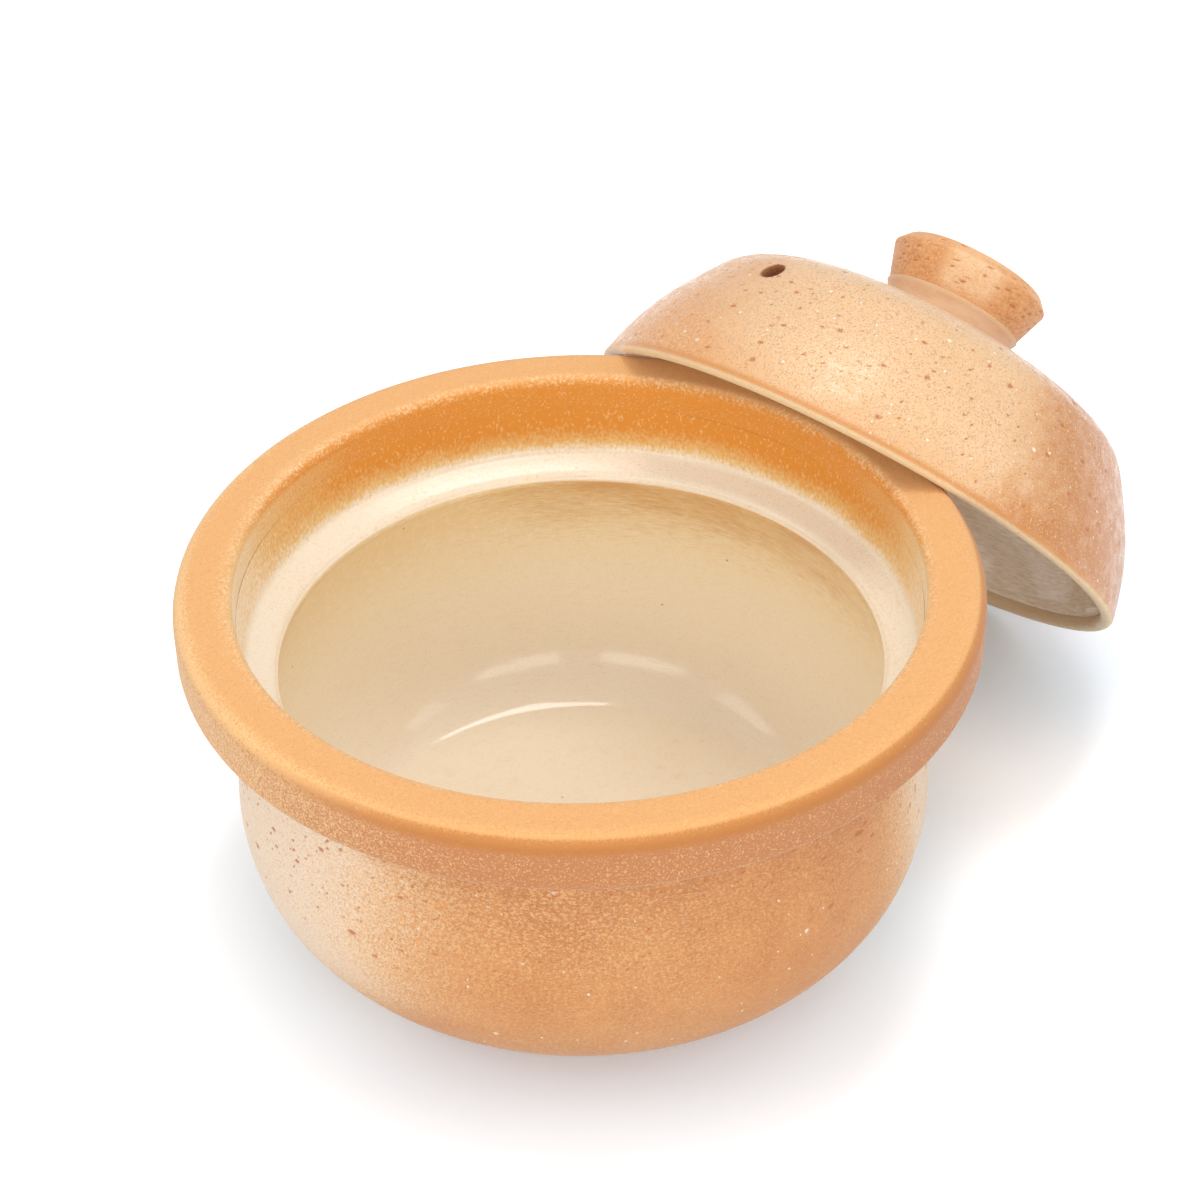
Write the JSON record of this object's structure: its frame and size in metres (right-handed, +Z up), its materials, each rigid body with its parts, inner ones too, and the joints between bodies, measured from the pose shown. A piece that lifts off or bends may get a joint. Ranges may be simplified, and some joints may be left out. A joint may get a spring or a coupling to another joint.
{
  "type": "donabe clay pot",
  "caption": "Round clay cooking pot with a thick collar, a recess and ledge for its lid, and a domed lid with a flared knob and a steam hole, lifted off and leaning on the collar.",
  "frame": {"origin": "centre of the pot's flat foot, on the surface that the pot stands on", "axes": "+Z up along the pot's axis; +X to the right and +Y away from somebody in front of the pot, with the lid leaning on the far right of the collar, 50 degrees from +X towards +Y"},
  "size_m": [0.3011, 0.3177, 0.1617],
  "materials": {
    "pot_clay": "matt fired clay, orange with pale ash patches, coarse grains and pits",
    "lid_clay": "satin fired clay, buff and orange with grains and pits",
    "knob_clay": "coarse fired clay, orange, with torn pits",
    "luting_slip": "smooth fired slip",
    "inner_glaze": "clear glossy cream glaze with faint specks"
  },
  "bodies": {
    "pot": {"pot_bowl": "pot_clay", "pot_inner_glaze": "inner_glaze"},
    "lid": {"lid_dome": "lid_clay", "lid_inner_glaze": "inner_glaze", "lid_knob": "knob_clay", "knob_slip": "luting_slip"}
  },
  "joints": [
    {"name": "lid_lift", "type": "slide", "parent": "pot", "child": "lid", "axis": [0, 0, 1], "range_m": [0, 0.15]}
  ]
}
